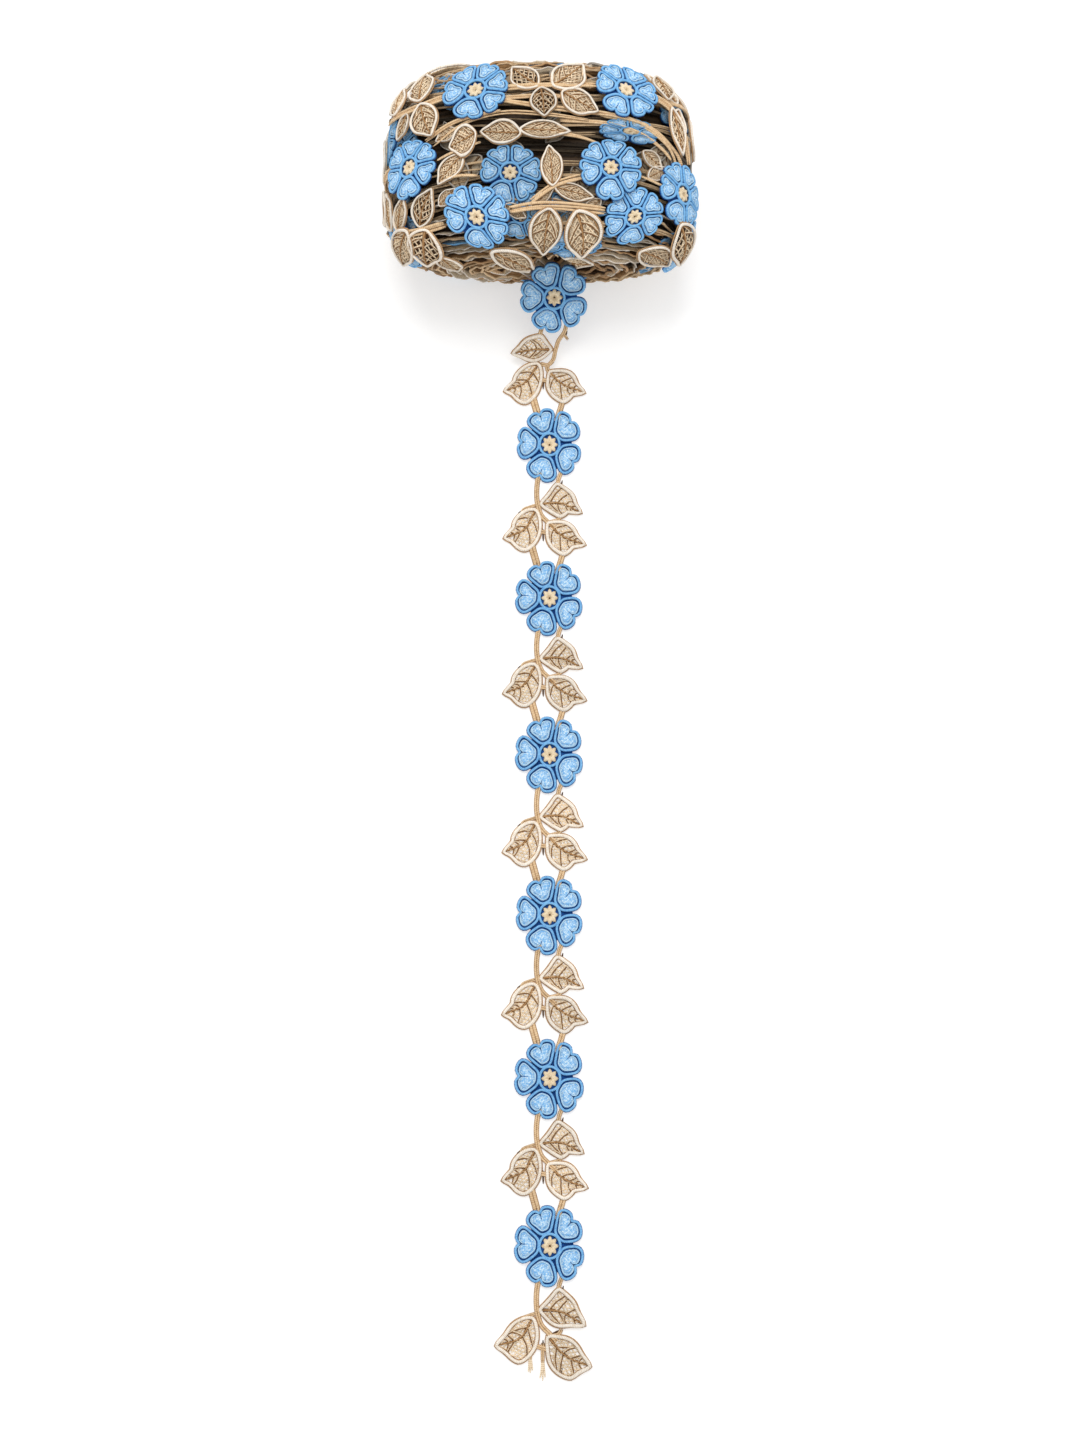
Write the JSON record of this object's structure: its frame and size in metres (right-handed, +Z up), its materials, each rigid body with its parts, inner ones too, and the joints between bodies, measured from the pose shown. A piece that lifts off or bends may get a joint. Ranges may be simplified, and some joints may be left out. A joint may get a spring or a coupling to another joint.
{
  "type": "embroidered lace trim roll",
  "caption": "Narrow openwork lace trim of corded blue flowers and beige leaves on a tan stem, wound in a barrel-shaped roll with a long end laid out flat",
  "frame": {"origin": "centre of the small flat spot that the roll rests on", "axes": "+Z is up, +Y runs along the roll's winding axis, and the loose end runs to -Y on the surface"},
  "size_m": [0.1176, 0.4835, 0.0666],
  "materials": {
    "blue_thread": "light blue satin stitched cords round paler lavender blue stitched petals",
    "beige_thread": "cream corded leaf edges, beige net leaves and tan twisted stems"
  },
  "bodies": {
    "root": {"wound_roll": "blue_thread", "loose_end": "beige_thread"}
  },
  "joints": []
}
